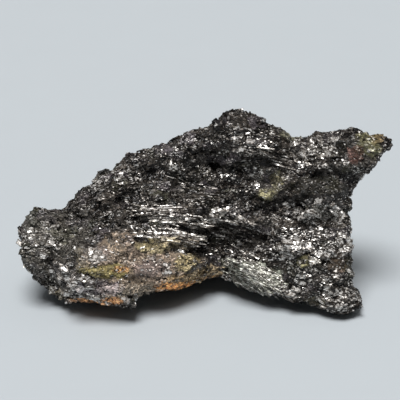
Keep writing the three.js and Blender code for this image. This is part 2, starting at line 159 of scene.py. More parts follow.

# Glitter: where more of the bundles turn a clean, bright face outwards (positive) or fewer do. The
# negative places are painted shade, which darkens recesses and shaded bands.
GLITTER = (
    ("fork, upper", (0.78, 0.32, 0.535), (9.0, 3.6), 0.45),
    ("fork, inner", (0.74, 0.21, 0.39), (5.0, 3.4), 0.26),
    ("fork, lower", (0.80, 0.13, 0.25), (7.0, 4.4), 0.40),
    ("over the fan", (0.69, 0.24, 0.31), (4.4, 2.6), 0.30),
    ("under the peak", (0.63, 0.50, 0.856), (5.0, 3.0), 0.10),
    ("under the saddle", (0.77, 0.53, 0.785), (6.0, 3.4), 0.24),
    ("saddle", (0.81, 0.53, 0.83), (4.6, 3.0), 0.26),
    ("blunt end", (0.06, 0.25, 0.395), (7.0, 8.0), 0.20),
    ("lobe flank", (0.12, 0.16, 0.20), (6.0, 6.0), 0.24),
    ("lobe corner", (0.17, 0.09, 0.15), (4.6, 3.2), 0.50),
    ("fan", (0.61, 0.18, 0.215), (6.4, 3.4), 0.25),
    ("fan rim", (0.70, 0.17, 0.14), (6.0, 2.0), 0.30),
    ("spray", (0.40, 0.28, 0.46), (9.0, 4.0), 0.04),
    ("foot", (0.865, 0.065, 0.12), (8.0, 4.0), 0.42),
    ("fork", (0.79, 0.25, 0.42), (15.0, 11.0), 0.30),
    ("lobe", (0.24, 0.06, 0.30), (12.0, 7.0), 0.20),
    ("crest", (0.23, 0.61, 0.58), (12.0, 5.0), 0.22),
    ("trough", (0.58, 0.40, 0.36), (7.0, 4.0), 0.16),
    # Painted shade: the places below have fewer bright faces, which darkens the ledge, the trough,
    # the crevice, the bands under the crest and over the sprays, and a little the dark face.
    ("shaded olive ledge", (0.80, 0.37, 0.66), (8.0, 2.6), -0.30),
    ("under the crest", (0.335, 0.435, 0.585), (5.0, 2.4), -0.25),
    ("over the sprays", (0.425, 0.42, 0.54), (6.0, 2.0), -0.30),
    ("trough, top", (0.56, 0.43, 0.525), (3.6, 1.4), -0.25),
    ("trough, right", (0.637, 0.375, 0.48), (3.0, 2.4), -0.30),
    ("trough, bottom", (0.546, 0.35, 0.22), (2.4, 3.0), -0.30),
    ("crevice", (0.78, 0.35, 0.59), (8.0, 2.0), -0.50),
    ("dark face", (0.46, 0.51, 0.60), (18.0, 7.0), -0.05),
)
GLITTER_COMMON = 0.14  # the share of bright bundles on the rest of the rock
GLITTER_LIMITS = (0.01, 0.9)
# Painted shade: the creases keep little glitter.
CREASE_GLITTER = 0.1  # how much of the glitter is left in the creases
CREASE = 0.16  # how much of the sheets' relief, from its bottom, is crease
BUNDLE = np.array([4.4, 3.2, 2.2]) * MM  # how long, deep and high a bundle of like blades is

# The skin's relief: how long, deep and thick the rock's sheets are and how high they stand, then
# the same sizes of its broken flats and how steeply they slope at most.
SHEET = np.array([17.0, 9.0, 3.6]) * MM
SHEET_HEIGHT = 1.3 * MM
SLABS = (np.array([6.0, 4.4, 2.6]) * MM, 0.20)
FLATS = (np.array([2.6, 2.0, 1.3]) * MM, 0.22)
CHIPS = (np.array([1.1, 0.9, 0.6]) * MM, 0.20)
STAIN_SMOOTHS = 0.5  # how much of the larger relief a full stain takes away

# Felts: the common blades over the whole rock. How many there are in each piece of them, how
# long, wide and thick one is in millimetres, and how freely single ones are bright.
FELTS = (
    ("coarse_blades", 4000, (1.4, 0.85, 0.42), 0.4),
    ("middle_blades", 15000, (0.86, 0.52, 0.32), 0.6),
    ("fine_blades_a", 16000, (0.52, 0.36, 0.22), 0.9),
    ("fine_blades_b", 16000, (0.40, 0.30, 0.20), 1.1),
)
FELT_LOWEST = 0.4 * MM  # no common blade is set lower than this

# Tones run from 0, near black, to 1, silver.
BRIGHT_TONES = (0.65, 1.4)
BRIGHT_CHANCE = 0.5  # how many blades of a bright bundle are bright
DARK_TONE = 0.6  # the tone that dark blades come up to
SHARED_TONE = 0.35  # how much of a dark blade's tone its bundle shares
# Painted shade: dark blades are darker in the creases.
CREASE_TONE = 0.4  # how much of a dark blade's tone is left in the creases

# Sprays: bundles of long thin blades that lie side by side. Each has its middle, how far it
# reaches along and across the blades, how steeply it runs down to the right in degrees, how
# many blades it has, how long and wide one is in millimetres, and its lowest and highest tone.
SPRAYS = (
    ("upper spray", (0.375, 0.325, 0.515), (5.4, 1.4), 6, 100, (4.8, 0.42), (0.50, 1.05)),
    ("middle spray", (0.46, 0.37, 0.438), (5.6, 1.2), 8, 120, (4.4, 0.46), (0.60, 1.15)),
    ("lower spray", (0.415, 0.23, 0.425), (5.2, 1.4), 5, 120, (4.6, 0.42), (0.65, 1.10)),
    ("pale fan", (0.63, 0.18, 0.205), (5.0, 3.0), 33, 360, (5.4, 0.27), (0.80, 1.15)),
    ("trough spray", (0.56, 0.38, 0.40), (5.6, 2.6), 14, 90, (3.0, 0.40), (0.25, 1.00)),
    ("trough prism", (0.595, 0.39, 0.455), (1.0, 0.5), 38, 10, (4.6, 0.50), (0.50, 0.95)),
    ("face spray", (0.47, 0.46, 0.60), (6.0, 2.2), 12, 50, (2.6, 0.32), (0.10, 0.85)),
    ("saddle spray", (0.70, 0.50, 0.76), (5.0, 2.0), 20, 50, (2.8, 0.36), (0.20, 0.90)),
    ("low ledge", (0.091, 0.215, 0.148), (0.9, 0.2), -3, 9, (3.6, 0.40), (0.15, 0.45)),
    ("back spray", (0.52, 0.96, 0.50), (9.0, 3.0), -8, 110, (5.0, 0.40), (0.30, 0.95)),
)
SPRAY_THICKNESS = 0.6  # in widths
SPRAY_ROOM = 1.2  # how far round a spray the common blades make room, in reaches
SPRAY_CLEARS = 0.9  # the share of them that do in its middle

# Crystals: knots of large clean blocks. Middle, reach along and up, how many, and how long one
# is in millimetres.
CRYSTALS = (
    ("fork, inner", (0.744, 0.208, 0.38), (2.0, 1.0), 8, 2.5),
    ("fork, upper left", (0.755, 0.39, 0.50), (3.6, 1.5), 14, 2.1),
    ("fork, upper right", (0.825, 0.315, 0.54), (3.2, 1.8), 20, 2.1),
    ("fork, step", (0.785, 0.31, 0.50), (4.0, 1.4), 12, 1.8),
    ("fork, right", (0.824, 0.332, 0.472), (3.0, 1.0), 9, 1.8),
    ("fork, lower", (0.81, 0.16, 0.345), (2.6, 1.6), 9, 2.4),
    ("fork, low", (0.79, 0.12, 0.25), (5.0, 2.6), 16, 1.4),
    ("fork, edge", (0.86, 0.24, 0.40), (2.2, 4.6), 10, 1.9),
    ("blocky knot", (0.532, 0.39, 0.466), (1.9, 1.9), 12, 2.2),
    ("under the peak", (0.63, 0.50, 0.856), (3.6, 2.4), 4, 2.0),
    ("under the saddle", (0.78, 0.52, 0.79), (4.6, 2.4), 14, 2.0),
    ("saddle, left", (0.754, 0.506, 0.748), (1.4, 1.0), 7, 2.0),
    ("saddle, right", (0.828, 0.48, 0.79), (1.6, 1.6), 9, 1.9),
    ("saddle", (0.83, 0.56, 0.83), (3.0, 1.2), 8, 1.7),
    ("lobe cap", (0.215, 0.089, 0.395), (0.8, 0.7), 5, 2.3),
    ("lobe front", (0.187, 0.033, 0.25), (2.2, 1.3), 10, 2.2),
    ("lobe middle", (0.396, 0.134, 0.286), (1.6, 1.4), 6, 1.2),
    ("rim cluster", (0.305, 0.048, 0.158), (1.2, 1.0), 8, 1.6),
    ("fan rim", (0.70, 0.17, 0.134), (4.6, 1.2), 14, 1.6),
    ("blunt end", (0.062, 0.25, 0.38), (4.4, 4.6), 14, 1.7),
    ("lobe flank", (0.118, 0.17, 0.18), (3.4, 4.0), 12, 1.8),
    ("foot", (0.865, 0.065, 0.12), (5.0, 2.4), 20, 1.2),
    ("crest", (0.245, 0.60, 0.60), (9.0, 2.4), 8, 1.3),
    ("back, high", (0.45, 0.90, 0.62), (18.0, 6.0), 50, 2.2),
    ("back, low", (0.50, 0.95, 0.30), (24.0, 7.0), 50, 2.2),
    ("lobe cap, low", (0.222, 0.063, 0.38), (1.0, 0.8), 5, 2.2),
    ("rim, left", (0.205, 0.06, 0.16), (2.2, 0.8), 9, 1.7),
    ("lobe corner", (0.166, 0.05, 0.20), (1.8, 1.6), 9, 1.7),
    ("over the fan", (0.705, 0.23, 0.325), (2.4, 1.4), 9, 1.9),
    ("fin, low", (0.826, 0.102, 0.18), (2.4, 1.2), 9, 1.4),
)
CRYSTAL_SHAPE = np.array([1.0, 0.75, 0.5])  # its length, width and thickness, in lengths
CRYSTAL_TONES = (0.75, 1.25)

# How each kind of blade is made: how far its ends are cut aslant, how much of a stain it takes,
# and the least share of its tone that a splinter in it has.
FELT_MAKE = (0.35, 1.0, 0.1)
SPRAY_MAKE = (0.8, 0.6, 0.65)
CRYSTAL_MAKE = (0.3, 0.4, 0.5)
BLADE_TAPER = 0.3  # how much wider one end is than the middle, and the other narrower, at most
SIZE_SPREAD = (0.5, 1.5)  # how far a blade is cut short or drawn out

# How sprays and crystals are laid: whether they crowd to the middle, how much of the skin's own
# slope they keep, how far they turn and tilt, how far one is cut short or drawn out, and how high
# its middle is over the skin, in thicknesses.
SPRAY_LAY = (True, 0.4, math.radians(5), math.radians(6), SIZE_SPREAD, 0.6)
CRYSTAL_LAY = (False, 0.8, math.radians(20), math.radians(12), (0.6, 1.35), -0.15)
LIGHT_RISE = 0.7  # how far they look up from the way their face looks, as a slope

SPLINTER = 0.28 * MM  # across the splinters in a blade, as fine as can still show
DUST = 2.5 * MM  # across the mottle of the rock's dust

# The stage: the floor's rings and spokes, the ways that its lights come from and how wide they
# are, and where the camera aims, from the middle of the rock's box.
RINGS, SPOKES = 24, 96
KEY_FROM, KEY_WIDTH = (-0.12, -0.22, 1.0), math.radians(30)
FILL_FROM, FILL_WIDTH = (0.05, 0.1, 1.0), math.radians(90)
ROOM_COLOUR = 0xC9CED2
AIM_SHIFT = Vector((-1.2, 5.75, -2.55)) * MM
SENSOR_WIDTH = 36.0  # millimetres, as Blender counts a camera's lens


# ---- numbers over space


def hashed(cells, seed):
    """A fixed number from 0 to 1 for each cell: its three whole numbers and the seed, each times
    a large prime, are added, mixed by shifts and products, and cut to 24 bits."""
    primes = np.array([73856093, 19349663, 83492791], np.int64)
    mixed = ((cells * primes).sum(axis=-1) + seed * 2654435761).astype(np.uint64)
    mixed ^= mixed >> np.uint64(15)
    mixed *= np.uint64(2246822519)
    mixed ^= mixed >> np.uint64(13)
    mixed *= np.uint64(3266489917)
    mixed ^= mixed >> np.uint64(16)
    return (mixed & np.uint64(0xFFFFFF)).astype(float) / 0x1000000


def chances(cells, seed):
    """Three fixed numbers from 0 to 1 for each cell."""
    return np.stack([hashed(cells, seed + axis) for axis in range(3)], axis=1)


def smooth_noise(points, size, seed):
    """A smooth field from -1 to 1: a fixed random number at each corner of a lattice of boxes
    `size` across, blended inside a box by 3t^2 - 2t^3 along each axis."""
    scaled = points / size
    cells = np.floor(scaled).astype(np.int64)
    part = scaled - cells
    part = part * part * (3 - 2 * part)
    total = np.zeros(len(points))
    for corner in itertools.product((0, 1), repeat=3):
        share = np.where(np.array(corner), part, 1 - part).prod(axis=1)
        total += share * hashed(cells + np.array(corner), seed)
    return total * 2 - 1


def nearest_cells(points, size, seed):
    """The irregular cell that each point is in: space is cut into boxes `size` across, with a
    middle at a random place in each, and a point belongs to the nearest middle. Gives the cells'
    whole numbers and the ways from their middles, in metres."""
    scaled = points / size
    home = np.floor(scaled).astype(np.int64)
    nearest = np.full(len(points), np.inf)
    chosen, offset = home.copy(), np.zeros_like(scaled)
    for step in itertools.product((-1, 0, 1), repeat=3):
        cells = home + np.array(step)
        away = scaled - cells - chances(cells, seed)
        distance = (away**2).sum(axis=1)
        closer = distance < nearest
        nearest[closer] = distance[closer]
        chosen[closer] = cells[closer]
        offset[closer] = away[closer]
    return chosen, offset * size


def broken_flats(points, size, slope, seed):
    """How far the flat under each point stands out. Each cell has a flat of its own: a plane
    through its middle that slopes its own way by up to `slope`, after a step of up to half of
    `slope` times the cell's least size."""
    cells, offset = nearest_cells(points, size, seed)
    rise = (offset * (chances(cells, seed + 3) * 2 - 1)).sum(axis=1)
    return slope * (rise + (hashed(cells, seed + 6) - 0.5) * min(size))


def creased(points, size, seed):
    """Rounded lumps parted by creases, from -0.5 in the creases to 0.5: the absolute value of a
    smooth noise, less a half, after the points are carried sideways by up to 0.35 of a lump."""
    drift = np.stack([smooth_noise(points, size, seed + axis) for axis in (1, 2, 3)], axis=1)
    return np.abs(smooth_noise(points + 0.35 * size * drift, size, seed)) - 0.5


def unit(vectors):
    """The vectors made one long."""
    return vectors / np.linalg.norm(vectors, axis=-1, keepdims=True).clip(1e-12)


def turned(vectors, axes, angles):
    """Each vector turned about its unit axis by its angle, by Rodrigues' formula."""
    cosine, sine = np.cos(angles)[:, None], np.sin(angles)[:, None]
    onto = (vectors * axes).sum(axis=1, keepdims=True) * axes
    return vectors * cosine + np.cross(axes, vectors) * sine + onto * (1 - cosine)


def along_grain(points):
    """The points turned about Y so that X runs along the rock's grain."""
    across = np.array([math.sin(DIP), 0.0, math.cos(DIP)])
    return np.stack([points @ GRAIN, points[:, 1], points @ across], axis=1)


def bundles(points):
    """The whole numbers of the bundle of like blades that each point is in."""
    return nearest_cells(along_grain(points), BUNDLE, BUNDLE_SEED)[0]


def face_axes(share):
    """For the face that a place is on, the level way along it, the way up it and the way it
    looks."""
    side = DISPLAY if share[1] < BACK_FROM else BACK
    return np.array([1.0, 0.0, 0.0]), unit(UP - side * (side @ UP)), side


def place_of(share):
    """Where a share of the rock's box is, in metres."""
    return CAD_LOW + (CAD_HIGH - CAD_LOW) * np.array(share)


def nearness(points, share, reach):
    """1 at a place, falling to 0 where the distance, counted in reaches, is 1. The distance is
    along and up the face, and through the rock, where the reach is the face's depth."""
    away = (points - place_of(share)) @ np.stack(face_axes(share), axis=1)
    counted = away / np.array([reach[0] * MM, reach[1] * MM, FACE_DEPTH])
    return 1 - np.sqrt((counted**2).sum(axis=1))


def stained(points):
    """The stain's colour and how fully it hides the blade, at each point. A stain is full where
    its nearness plus a ragged noise is over its edge and gone where that is under 0, and a later
    one lies over those before it. Elsewhere each bundle has a faint hue of its own."""
    ragged = np.zeros(len(points))
    for seed, (size, strength) in enumerate(STAIN_WAVES, EDGE_SEED):
        ragged += strength * smooth_noise(points, size, seed)
    cells = bundles(points)
    hues = np.array([linear(hex_colour)[:3] for hex_colour in TINTS])
    colour = hues[(hashed(cells, HUE_SEED) * len(TINTS)).astype(int)]
    amount = TINT_MOST * hashed(cells, TINT_SEED) ** 2
    for _, hex_colour, share, reach, strength in STAINS:
        inside = nearness(points, share, reach) + STAIN_RAGGED * ragged
        cover = np.clip(inside / STAIN_EDGE, 0, 1) * strength
        colour += (np.array(linear(hex_colour)[:3]) - colour) * cover[:, None]
        amount = np.maximum(amount, cover)
    return colour, amount


def kept_stain(normals):
    """How much of its stain a face has: all of it on most, less where it looks down by more than 27
    degrees, and a tenth straight below. The bare, dark undersides are painted shade: they keep the
    shadow under the rock dark and free of stained light."""
    return (1.9 + 2 * normals[:, 2]).clip(0.1, 1)


def out_of_creases(points):
    """0 in the creases between the rock's sheets and 1 on them; the blades are darker there as
    painted shade.
    """
    return ((creased(along_grain(points), SHEET, SHEET_SEED) + 0.5) / CREASE).clip(0, 1)


def glitter(points):
    """The share of bright bundles at each point: the common share plus that of each place, full
    where its nearness is over a half and none where that is 0, and little in the creases. The
    places with less glitter and the creases are painted shade."""
    share = np.full(len(points), GLITTER_COMMON)
    for _, place, reach, more in GLITTER:
        share += more * np.clip(nearness(points, place, reach) * 2, 0, 1)
    left = CREASE_GLITTER + (1 - CREASE_GLITTER) * out_of_creases(points)
    return share.clip(*GLITTER_LIMITS) * left


def shining(points):
    """Whether each point is in a bright bundle, which it is with the chance that glitter()
    gives."""
    return hashed(bundles(points), BRIGHT_SEED) < glitter(points)


def tones_at(points, rng, sparks):
    """A tone for each blade. Half of those of a bright bundle are bright, and in other bundles
    `sparks` times the place's glitter are. The rest are dark: a mix of a chance of their own and
    one of their bundle's, to the power of 1.2, and darker in the creases, which is painted shade."""
    count = len(points)
    chance = np.where(shining(points), BRIGHT_CHANCE, sparks * glitter(points))
    bright = rng.random(count) < chance
    shared = hashed(bundles(points), DARK_SEED)
    dark = DARK_TONE * ((1 - SHARED_TONE) * rng.random(count) + SHARED_TONE * shared) ** 1.2
    dark *= CREASE_TONE + (1 - CREASE_TONE) * out_of_creases(points)
    return np.where(bright, rng.uniform(*BRIGHT_TONES, count), dark)


def open_rock(points):
    """How freely the common blades may lie at each point: 1 in most places, and little in a spray
    where its nearness is over a third, because long blades take their place."""
    room = np.ones(len(points))
    for _, share, reach, *_ in SPRAYS:
        near = nearness(points, share, np.array(reach) * SPRAY_ROOM)
        room *= 1 - SPRAY_CLEARS * np.clip(near * 3, 0, 1)
    return room


# ---- meshes


def placed(name, data):
    """A new object with this data, in the scene."""
    thing = bpy.data.objects.new(name, data)
    bpy.context.scene.collection.objects.link(thing)
    return thing


def mesh_from(name, corners, faces):
    """A flat-shaded piece with these corners, as an array, and these faces, as lists."""
    mesh = bpy.data.meshes.new(name)
    mesh.from_pydata(corners, [], faces)
    return placed(name, mesh)


def values_of(items, field, width, kind=np.float32):
    """One field of a mesh's items as an array, with a row of `width` numbers for each item."""
    found = np.empty(len(items) * width, kind)
    items.foreach_get(field, found)
    return found.reshape(-1, width)


def corners_of(mesh):
    """The places of a mesh's corners."""
    return values_of(mesh.vertices, "co", 3).astype(float)


def normals_of(mesh):
    """The way that a mesh looks at each corner."""
    return values_of(mesh.vertex_normals, "vector", 3).astype(float)


def give_values(mesh, name, kind, domain, values):
    """Gives a mesh an attribute: a row of values, and for a colour an alpha of 1, for each item of
    the domain."""
    if kind == "FLOAT_COLOR":
        values = np.pad(values, ((0, 0), (0, 1)), constant_values=1.0)
    layer = mesh.attributes.new(name, kind, domain)
    field = {"FLOAT": "value", "FLOAT_COLOR": "color"}.get(kind, "vector")
    layer.data.foreach_set(field, values.astype(np.float32).ravel())


def give_map(mesh, spots):
    """Gives a mesh its map for the export: a spot from 0 to 1 for each corner of each face."""
    layer = mesh.uv_layers.new(name="OFBake")
    layer.uv.foreach_set("vector", spots.astype(np.float32).ravel())


def finish_piece(piece, material):
    """Gives a piece its material, hangs it on the body that it rides on and hides the imported part
    that it replaces.
    """
    piece.data.materials.append(material)
    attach(piece, BODY)
    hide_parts(NODE)


# ---- materials


def add_node(tree, kind, settings=None, links=None):
    """Adds a shader node of a kind, with settings by name (an attribute, or else an input socket)
    and links by input socket."""
    node = tree.nodes.new("ShaderNode" + kind)
    for name, value in (settings or {}).items():
        if isinstance(name, str) and hasattr(node, name):
            setattr(node, name, value)
        else:
            node.inputs[name].default_value = value
    link(node, links or {})
    return node


def link(node, links):
    """Links input sockets, each from an output socket or from a node's first output."""
    for name, source in links.items():
        output = source.outputs[0] if isinstance(source, bpy.types.Node) else source
        node.id_data.links.new(output, node.inputs[name])


def set_ramp(node, stops):
    """Gives a colour ramp its stops, each a place from 0 to 1 and an sRGB hex colour."""
    ramp = node.color_ramp
    while len(ramp.elements) < len(stops):
        ramp.elements.new(0.5)
    for element, (place, hex_colour) in zip(ramp.elements, stops):
        element.position = place
        element.color = linear(hex_colour)


def new_material(name, settings):
    """A material, its surface with these settings, and what adds a node to it."""
    material = bpy.data.materials.new(name)
    material.use_nodes = True
    surface = material.node_tree.nodes["Principled BSDF"]
    for socket, value in settings.items():
        surface.inputs[socket].default_value = value
    return material, surface, partial(add_node, material.node_tree)


def add_splinters(add, surface, strength):
    """Breaks a surface into irregular splinters along the grain. Each is a small flat, whose height
    is the way from its middle times a random slope. Gives a chance from 0 to 1 for each."""
    place = add("TexCoord").outputs["Object"]
    drawn = {"Rotation": (0.0, DIP, 0.0), "Scale": (0.6, 0.8, 1.2)}
    along = add("Mapping", drawn, {"Vector": place})
    cells = add("TexVoronoi", {"Scale": 1 / SPLINTER}, {"Vector": along}).outputs
    offset = add("VectorMath", {"operation": "SUBTRACT"}, {0: along, 1: cells["Position"]})
    level = {"operation": "SUBTRACT", 1: (0.5, 0.5, 0.5)}
    slope = add("VectorMath", level, {0: cells["Color"]})
    height = add("VectorMath", {"operation": "DOT_PRODUCT"}, {0: offset, 1: slope})
    bumps = {"Strength": strength, "Distance": 1.0}
    link(surface, {"Normal": add("Bump", bumps, {"Height": height.outputs["Value"]})})
    return add("SeparateColor", {}, {"Color": cells["Color"]}).outputs["Red"]


def lay_stain(add, surface, clean, shade, low, high):
    """Lays the stain's colour, times `shade`, over a clean one, as fully as the face's stain says.
    Roughness goes from `low` to `high` with it. Gives how full the stain is."""
    stain = add("Attribute", {"attribute_name": "stain"}).outputs["Fac"]
    earth = add("Attribute", {"attribute_name": "stain_colour"})
    shaded = add("VectorMath", {"operation": "SCALE"}, {"Vector": earth, "Scale": shade})
    colour = add("Mix", {"data_type": "RGBA"}, {0: stain, 6: clean, 7: shaded})
    rough = add("MapRange", {"To Min": low, "To Max": high}, {"Value": stain})
    link(surface, {"Base Color": colour.outputs[2], "Roughness": rough})
    return stain


def face_edge(add):
    """1 over the middle of a blade's face, falling to about a third at its edges: dark broken
    edges, partly painted shade of the gaps between blades. It uses the greater of the two distances
    from the middle, counted in half widths."""
    spot = add("Attribute", {"attribute_name": "spot"}).outputs["Vector"]
    away = add("VectorMath", {"operation": "ABSOLUTE"}, {"Vector": spot})
    parts = add("SeparateXYZ", {}, {"Vector": away}).outputs
    most = add("Math", {"operation": "MAXIMUM"}, {0: parts["X"], 1: parts["Y"]})
    fall = {"From Min": 0.55, "From Max": 1.0, "To Min": 1.0, "To Max": 0.35}
    return add("MapRange", fall, {"Value": most})


def cleavage_material():
    """Amphibole cleavage: clean splits along the blade, with a vitreous to silky, partly metallic
    lustre. Each blade has its own tone, from near black to silver, and a stain that dulls it. A
    splinter's tone is its blade's times a share that goes, by the square of its chance, from the
    blade's evenness to 3.35 less 2.4 times that. The lightest are the most metallic."""
    looks = {"IOR": 1.64, "Specular IOR Level": 0.3}
    material, surface, add = new_material(CLEAVAGE, looks)
    tone = add("Attribute", {"attribute_name": "tone"}).outputs["Fac"]
    evenness = add("Attribute", {"attribute_name": "evenness"}).outputs["Fac"]
    chance = add_splinters(add, surface, 0.7)
    uneven = add("Math", {"operation": "POWER", 1: 2.0}, {0: chance})
    most = add("Math", {"operation": "MULTIPLY_ADD", 1: -2.4, 2: 3.35}, {0: evenness})
    change = add("MapRange", {}, {"Value": uneven, "To Min": evenness, "To Max": most})
    # The blade's edges are darkened: partly broken edges, partly painted shade between blades.
    whole = add("Math", {"operation": "MULTIPLY"}, {0: tone, 1: face_edge(add)})
    splintered = add("Math", {"operation": "MULTIPLY"}, {0: whole, 1: change})
    ramp = add("ValToRGB", {}, {"Fac": splintered})
    stops = ((0.0, 0x030202), (0.25, 0x28221E), (0.5, 0x6C645C), (0.75, 0xB4AEA6), (1.0, 0xF4F0EB))
    set_ramp(ramp, stops)
    shade = add("MapRange", {"To Min": 0.48, "To Max": 2.2}, {"Value": uneven})
    stain = lay_stain(add, surface, ramp, shade, 0.28, 0.6)
    shine = {"From Min": 0.1, "From Max": 0.9, "To Min": 0.1, "To Max": 0.5}
    lustre = add("MapRange", shine, {"Value": splintered})
    clean = add("Math", {"operation": "SUBTRACT", 0: 1.0}, {1: stain})
    metal = add("Math", {"operation": "MULTIPLY"}, {0: lustre, 1: clean})
    link(surface, {"Metallic": metal})
    return material


def skin_material():
    """Weathered amphibole rock: the fine felt of blades under the coarse ones, broken rough and
    dulled by dust and iron stain."""
    looks = {"IOR": 1.62, "Specular IOR Level": 0.2}
    material, surface, add = new_material("weathered amphibole rock", looks)
    ramp = add("ValToRGB", {}, {"Fac": add_splinters(add, surface, 1.0)})
    stops = ((0.0, 0x040303), (0.45, 0x15120F), (0.8, 0x3E3933), (1.0, 0x857E75))
    set_ramp(ramp, stops)
    place = add("TexCoord").outputs["Object"]
    dust = add("TexNoise", {"Scale": 1 / DUST, "Detail": 4.0, "Roughness": 0.6}, {"Vector": place})
    mottle = {"From Min": 0.3, "From Max": 0.7, "To Min": 0.55, "To Max": 1.25}
    shade = add("MapRange", mottle, {"Value": dust})
    lay_stain(add, surface, ramp, shade, 0.42, 0.85)
    return material


def board_material(colour):
    """A matt painted board: an even pale colour with the faint mottle of roller paint, which has
    60 soft spots to the metre."""
    material, surface, add = new_material("matt painted board", {"Roughness": 0.6})
    place = add("TexCoord").outputs["Object"]
    mottle = add("TexNoise", {"Scale": 60.0, "Detail": 3.0}, {"Vector": place})
    low = tuple(c * 0.98 for c in colour)
    shade = add("Mix", {"data_type": "RGBA", 6: (*low, 1.0), 7: (*colour, 1.0)}, {0: mottle})
    link(surface, {"Base Color": shade.outputs[2]})
    return material


# ---- rock skin


def relief(points):
    """How far the skin stands out: sheets parted by creases and three sizes of broken flats, all
    drawn out along the grain. All but the smallest are weaker where the rock is stained."""
    place = along_grain(points)
    _, amount = stained(points)
    sheets = SHEET_HEIGHT * creased(place, SHEET, SHEET_SEED)
    slabs = broken_flats(place, *SLABS, SLAB_SEED)
    flats = broken_flats(place, *FLATS, FLAT_SEED)
    chips = broken_flats(place, *CHIPS, CHIP_SEED)
    return (sheets + slabs + flats) * (1 - STAIN_SMOOTHS * amount) + chips


def even_squares(square):
    """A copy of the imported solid, merged and with its surface cut into even squares."""
    copy = placed(SKIN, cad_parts[NODE].data.copy())
    shape = bmesh.new()
    shape.from_mesh(copy.data)
    bmesh.ops.remove_doubles(shape, verts=shape.verts, dist=1e-6)
    shape.to_mesh(copy.data)
    shape.free()
    cut = copy.modifiers.new("even squares", "REMESH")
    cut.mode = "VOXEL"
    cut.voxel_size = square
    finished = copy.evaluated_get(bpy.context.evaluated_depsgraph_get())
    even = bpy.data.meshes.new_from_object(finished)
    copy.modifiers.clear()
    copy.data = even
    even.materials.clear()
    return copy


def grown_skin(settings):
    """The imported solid's surface in small squares, moved out by its relief, but not into the
    ground, nor where it rests there."""
    skin = even_squares(settings.skin_square)
    mesh = skin.data
    corners, normals = corners_of(mesh), normals_of(mesh)
    give_values(mesh, "rest_normal", "FLOAT_VECTOR", "POINT", normals)
    moved = corners + normals * relief(corners)[:, None]
    moved[:, 2] = moved[:, 2].clip(0)
    standing = corners[:, 2] < STANDING
    moved[standing] = corners[standing]
    mesh.vertices.foreach_set("co", moved.astype(np.float32).ravel())
    mesh.update()
    return skin


def box_map(mesh):
    """A map of the skin for the export: each square is seen along the axis that it faces most, and
    the six views lie side by side, two across and three up, with gaps between."""
    normals = values_of(mesh.polygons, "normal", 3)
    axis = np.abs(normals).argmax(axis=1)
    front = normals[np.arange(len(axis)), axis] > 0
    axis, front = np.repeat(axis, 4), np.repeat(front, 4)
    used = values_of(mesh.loops, "vertex_index", 1, np.int32)[:, 0]
    corners = corners_of(mesh)
    low, high = corners.min(axis=0), corners.max(axis=0)
    share = ((corners - low) / (high - low))[used]
    across = np.where(axis == 0, share[:, 1], share[:, 0])
    up = np.where(axis == 2, share[:, 1], share[:, 2])
    cell = np.stack([front, axis], axis=1)
    inside = 0.02 + 0.96 * np.stack([across, up], axis=1)
    give_map(mesh, (cell + inside) / (2, 3))


def surface_samples(count, rng):
    """Places spread evenly over the skin but for its foot, each with the mean of the normals that
    the skin has there with its relief and without. A face is chosen with a chance that goes by
    its area, then a place inside it."""
    mesh = bpy.data.objects[SKIN].data
    mesh.calc_loop_triangles()
    triangles = values_of(mesh.loop_triangles, "vertices", 3, np.int32)
    rest = values_of(mesh.attributes["rest_normal"].data, "vector", 3)
    normals = (normals_of(mesh) + rest)[triangles]
    corners = corners_of(mesh)[triangles]
    first, second = corners[:, 1] - corners[:, 0], corners[:, 2] - corners[:, 0]
    area = np.linalg.norm(np.cross(first, second), axis=1)
    area *= corners[:, :, 2].min(axis=1) > FELT_LOWEST
    chosen = np.searchsorted(np.cumsum(area), rng.random(count) * area.sum())
    part = rng.random((count, 2))
    part = np.where(part.sum(axis=1, keepdims=True) > 1, 1 - part, part)
    share = np.column_stack([1 - part.sum(axis=1), part])[:, :, None]
    return (corners[chosen] * share).sum(axis=1), unit((normals[chosen] * share).sum(axis=1))


# ---- blades

BLADE_CORNERS = np.array(list(itertools.product((-1, 1), repeat=3)), float)
BLADE_FACES = np.array(
    [(0, 1, 3, 2), (4, 6, 7, 5), (0, 4, 5, 1), (2, 3, 7, 6), (0, 2, 6, 4), (1, 5, 7, 3)]
)
SIDES = len(BLADE_FACES)

# Where the corners of a face lie on it, from its middle.
FACE_SPOTS = np.array([(-1, -1), (1, -1), (1, 1), (-1, 1)], float)


def blade_corners(middle, along, out, size, rng, slant):
    """The eight corners of each blade: a box `size` long, wide and thick on its own axes. It
    tapers from one end to the other, and both ends are cut aslant."""
    count = len(middle)
    across = unit(np.cross(out, along))
    out = np.cross(along, across)
    local = BLADE_CORNERS[None] * size[:, None] / 2
    narrow = 1 - BLADE_CORNERS[None, :, :1] * rng.uniform(0, BLADE_TAPER, (count, 1, 1))
    local[:, :, 1:] *= narrow
    local[:, :, 0] += (rng.normal(0, slant, (count, 1, 2)) * local[:, :, 1:]).sum(axis=2)
    axes = np.stack([along, across, out], axis=1)
    return middle[:, None] + local @ axes


def cell_map(mesh, count):
    """A map for the export, with a square cell for each blade. Its faces share the middle of the
    cell, because it has one colour."""
    per_side = math.ceil(math.sqrt(count))
    cell = np.repeat(np.arange(count), SIDES * 4)
    corner = np.tile(0.5 + 0.3 * FACE_SPOTS, (count * SIDES, 1))
    lower = np.stack([cell % per_side, cell // per_side], axis=1)
    give_map(mesh, (lower + corner) / per_side)


